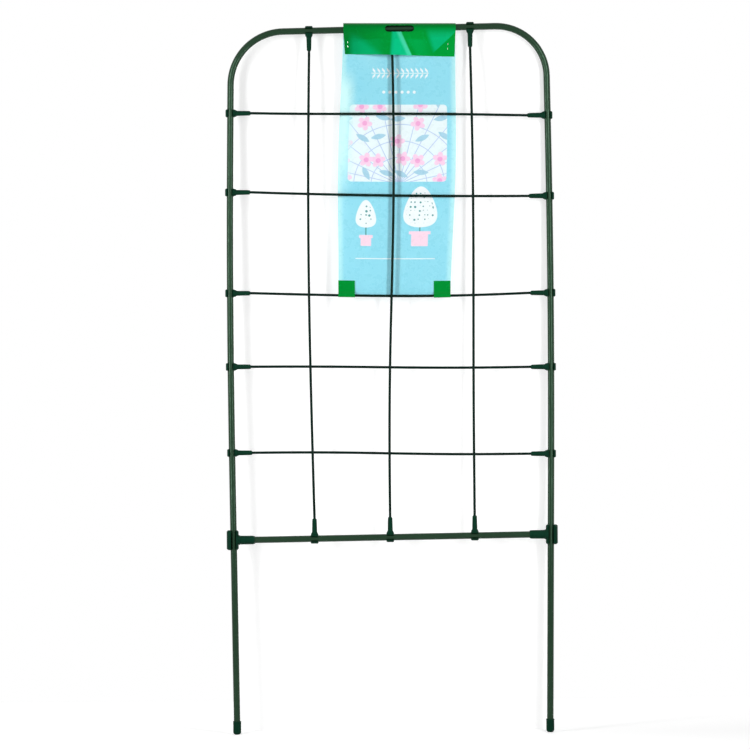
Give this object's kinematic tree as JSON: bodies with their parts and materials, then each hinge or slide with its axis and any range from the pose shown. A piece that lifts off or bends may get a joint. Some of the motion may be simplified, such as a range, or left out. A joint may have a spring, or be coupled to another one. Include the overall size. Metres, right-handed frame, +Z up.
{
  "type": "climbing plant trellis",
  "caption": "Slim garden trellis for pots and beds: a bent tube arch on two legs, a lower rail, and a grid of thin clip-on wires, with a folded hang card at the top.",
  "frame": {"origin": "on the ground, midway between the tips of the two feet", "axes": "+Z up along the legs, +X to the right across the frame as seen in the picture, -Y towards the viewer and the open mouths of the clips"},
  "size_m": [0.4208, 0.015, 0.9031],
  "materials": {
    "tube_coat": "satin dark green plastic coat on steel tube",
    "wire_coat": "satin dark green plastic coat on steel wire",
    "clip_plastic": "satin dark green moulded plastic",
    "card_sheet": "glossy printed plastic sheet, green header and tabs on a light blue panel",
    "staple_steel": "bright plated steel wire"
  },
  "bodies": {
    "frame": {"arch_tube": "tube_coat", "lower_rail": "tube_coat", "foot_cap_left": "clip_plastic", "foot_cap_right": "clip_plastic", "rail_clip_left": "clip_plastic", "rail_clip_right": "clip_plastic", "cross_wire_3": "wire_coat", "cross_wire_3_clip_left": "clip_plastic", "cross_wire_3_clip_right": "clip_plastic", "hang_card": "card_sheet", "staple_left": "staple_steel", "staple_right": "staple_steel"},
    "cross_wire_1_assembly": {"cross_wire_1": "wire_coat", "cross_wire_1_clip_left": "clip_plastic", "cross_wire_1_clip_right": "clip_plastic"},
    "cross_wire_2_assembly": {"cross_wire_2": "wire_coat", "cross_wire_2_clip_left": "clip_plastic", "cross_wire_2_clip_right": "clip_plastic"},
    "cross_wire_4_assembly": {"cross_wire_4": "wire_coat", "cross_wire_4_clip_left": "clip_plastic", "cross_wire_4_clip_right": "clip_plastic"},
    "cross_wire_5_assembly": {"cross_wire_5": "wire_coat", "cross_wire_5_clip_left": "clip_plastic", "cross_wire_5_clip_right": "clip_plastic"},
    "upright_wire_1_assembly": {"upright_wire_1": "wire_coat", "upright_wire_1_clip_bottom": "clip_plastic", "upright_wire_1_clip_top": "clip_plastic"},
    "upright_wire_2_assembly": {"upright_wire_2": "wire_coat", "upright_wire_2_clip_bottom": "clip_plastic", "upright_wire_2_clip_top": "clip_plastic"},
    "upright_wire_3_assembly": {"upright_wire_3": "wire_coat", "upright_wire_3_clip_bottom": "clip_plastic", "upright_wire_3_clip_top": "clip_plastic"}
  },
  "joints": [
    {"name": "cross_wire_1_slide", "type": "slide", "parent": "frame", "child": "cross_wire_1_assembly", "axis": [0, 0, 1], "range_m": [-0.026, 0.022]},
    {"name": "cross_wire_2_slide", "type": "slide", "parent": "frame", "child": "cross_wire_2_assembly", "axis": [0, 0, 1], "range_m": [-0.035, 0.035]},
    {"name": "cross_wire_4_slide", "type": "slide", "parent": "frame", "child": "cross_wire_4_assembly", "axis": [0, 0, 1], "range_m": [-0.04, 0.04]},
    {"name": "cross_wire_5_slide", "type": "slide", "parent": "frame", "child": "cross_wire_5_assembly", "axis": [0, 0, 1], "range_m": [-0.036, 0.036]},
    {"name": "upright_wire_1_slide", "type": "slide", "parent": "frame", "child": "upright_wire_1_assembly", "axis": [0.9999, 0, 0.0147], "range_m": [-0.022, 0.025]},
    {"name": "upright_wire_2_slide", "type": "slide", "parent": "frame", "child": "upright_wire_2_assembly", "axis": [0.9999, 0, 0.0147], "range_m": [-0.015, 0.01]},
    {"name": "upright_wire_3_slide", "type": "slide", "parent": "frame", "child": "upright_wire_3_assembly", "axis": [0.9999, 0, 0.0147], "range_m": [-0.008, 0.022]}
  ]
}
